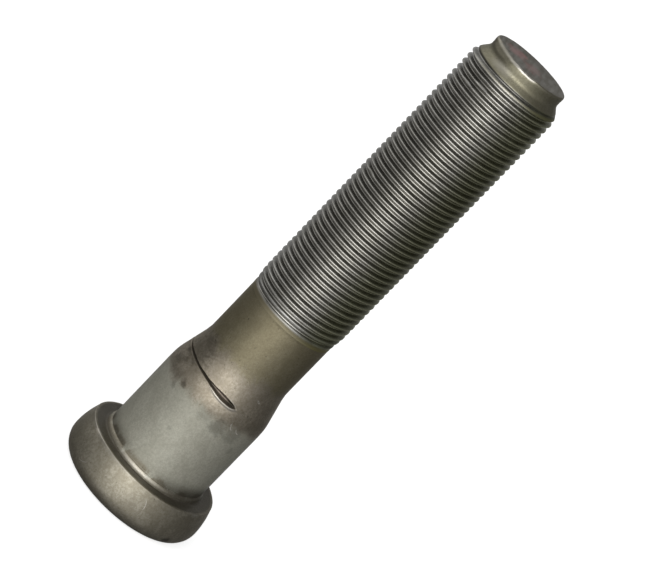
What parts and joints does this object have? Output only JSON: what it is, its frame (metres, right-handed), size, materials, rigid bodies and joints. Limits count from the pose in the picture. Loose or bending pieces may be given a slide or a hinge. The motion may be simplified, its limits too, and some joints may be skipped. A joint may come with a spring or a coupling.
{
  "type": "wheel bolt",
  "caption": "Press-in wheel bolt with a round button head, a fitted shoulder that tapers to the shank, a long fine thread and a turned guide point, standing on its head.",
  "frame": {"origin": "middle of the head's flat end, on which the bolt stands", "axes": "+Z along the bolt's axis, from the head to the guide point; -Y faces the picture's camera, and the slit in the taper climbs towards -X"},
  "size_m": [0.0344, 0.0344, 0.125],
  "materials": {
    "bolt_steel": "dull phosphated and oiled steel, grey to olive brown, brighter on the thread crests and the edges"
  },
  "bodies": {
    "root": {"wheel_bolt": "bolt_steel"}
  },
  "joints": []
}
